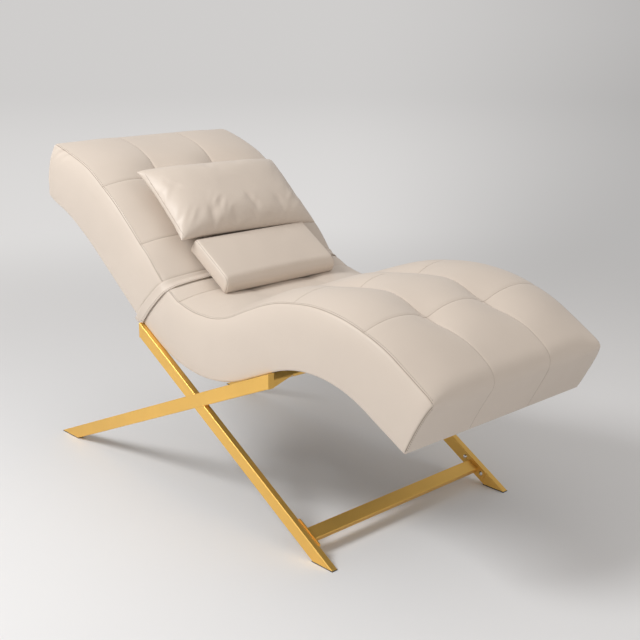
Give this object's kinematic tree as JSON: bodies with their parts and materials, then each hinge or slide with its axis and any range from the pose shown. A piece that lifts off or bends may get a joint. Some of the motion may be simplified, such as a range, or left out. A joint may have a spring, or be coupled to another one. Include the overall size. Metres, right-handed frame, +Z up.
{
  "type": "eyelash extension bed",
  "caption": "Wave-shaped eyelash treatment bed with a tufted seat and slip-on tufted backrest on crossed rectangular-tube side frames, a loose head pillow and a lumbar cushion.",
  "frame": {"origin": "on the floor, in the middle of the bed's overall length and width", "axes": "+X towards the foot end, +Y to the left of a person lying on the bed with feet at +X, +Z up"},
  "size_m": [1.696, 0.75, 1.0045],
  "materials": {
    "beige_leather": "smooth synthetic leather with a satin sheen",
    "gold_metal": "satin gold coating",
    "plain_steel": "zinc-plated",
    "timber": "raw timber and plywood",
    "foam": "foam and fibre filling",
    "dust_cloth": "black non-woven cloth",
    "tuft_twine": "twisted twine with a washer",
    "foot_rubber": "matt"
  },
  "bodies": {
    "frame_and_seat": {"crossbar": "gold_metal", "crossbar_bolts": "plain_steel", "crossbar_flange_left": "gold_metal", "crossbar_flange_right": "gold_metal", "crossbar_rivet_nuts": "plain_steel", "foot_end_pads": "foot_rubber", "front_rail": "gold_metal", "head_foot_pads": "foot_rubber", "leg_end_plates": "gold_metal", "long_leg_left": "gold_metal", "long_leg_right": "gold_metal", "post_socket_left": "plain_steel", "post_socket_right": "plain_steel", "rail_gussets": "gold_metal", "rear_rail": "gold_metal", "seat_cover": "beige_leather", "seat_deck": "timber", "seat_dust_cover": "dust_cloth", "seat_edge_foam": "foam", "seat_end_board": "timber", "seat_foam": "foam", "seat_mount_bolts": "plain_steel", "seat_side_board_left": "timber", "seat_side_board_right": "timber", "seat_slat_1": "timber", "seat_slat_2": "timber", "seat_slat_3": "timber", "seat_slat_4": "timber", "seat_slat_5": "timber", "seat_slat_6": "timber", "seat_tee_nuts": "plain_steel", "seat_tuft_ties": "tuft_twine", "short_leg_lower_left": "gold_metal", "short_leg_lower_right": "gold_metal", "short_leg_upper_left": "gold_metal", "short_leg_upper_right": "gold_metal", "socket_screws": "plain_steel"},
    "backrest": {"back_cover": "beige_leather", "back_deck": "timber", "back_dust_cover": "dust_cloth", "back_edge_foam": "foam", "back_end_board": "timber", "back_foam": "foam", "back_post_bolts": "plain_steel", "back_post_left": "plain_steel", "back_post_right": "plain_steel", "back_side_board_left": "timber", "back_side_board_right": "timber", "back_slat_1": "timber", "back_slat_2": "timber", "back_tuft_ties": "tuft_twine", "joint_flap": "beige_leather"},
    "head_pillow": {"head_pillow_cover": "beige_leather", "head_pillow_filling": "foam"},
    "lumbar_cushion": {"lumbar_cushion_cover": "beige_leather", "lumbar_cushion_filling": "foam"}
  },
  "joints": [
    {"name": "backrest_slide", "type": "slide", "parent": "frame_and_seat", "child": "backrest", "axis": [-0.7986, 0, 0.6018], "range_m": [0, 0.13]},
    {"name": "head_pillow_lift", "type": "slide", "parent": "backrest", "child": "head_pillow", "axis": [0.6494, 0, 0.7604], "range_m": [0, 0.15]},
    {"name": "lumbar_cushion_lift", "type": "slide", "parent": "frame_and_seat", "child": "lumbar_cushion", "axis": [0.6494, 0, 0.7604], "range_m": [0, 0.15]}
  ]
}
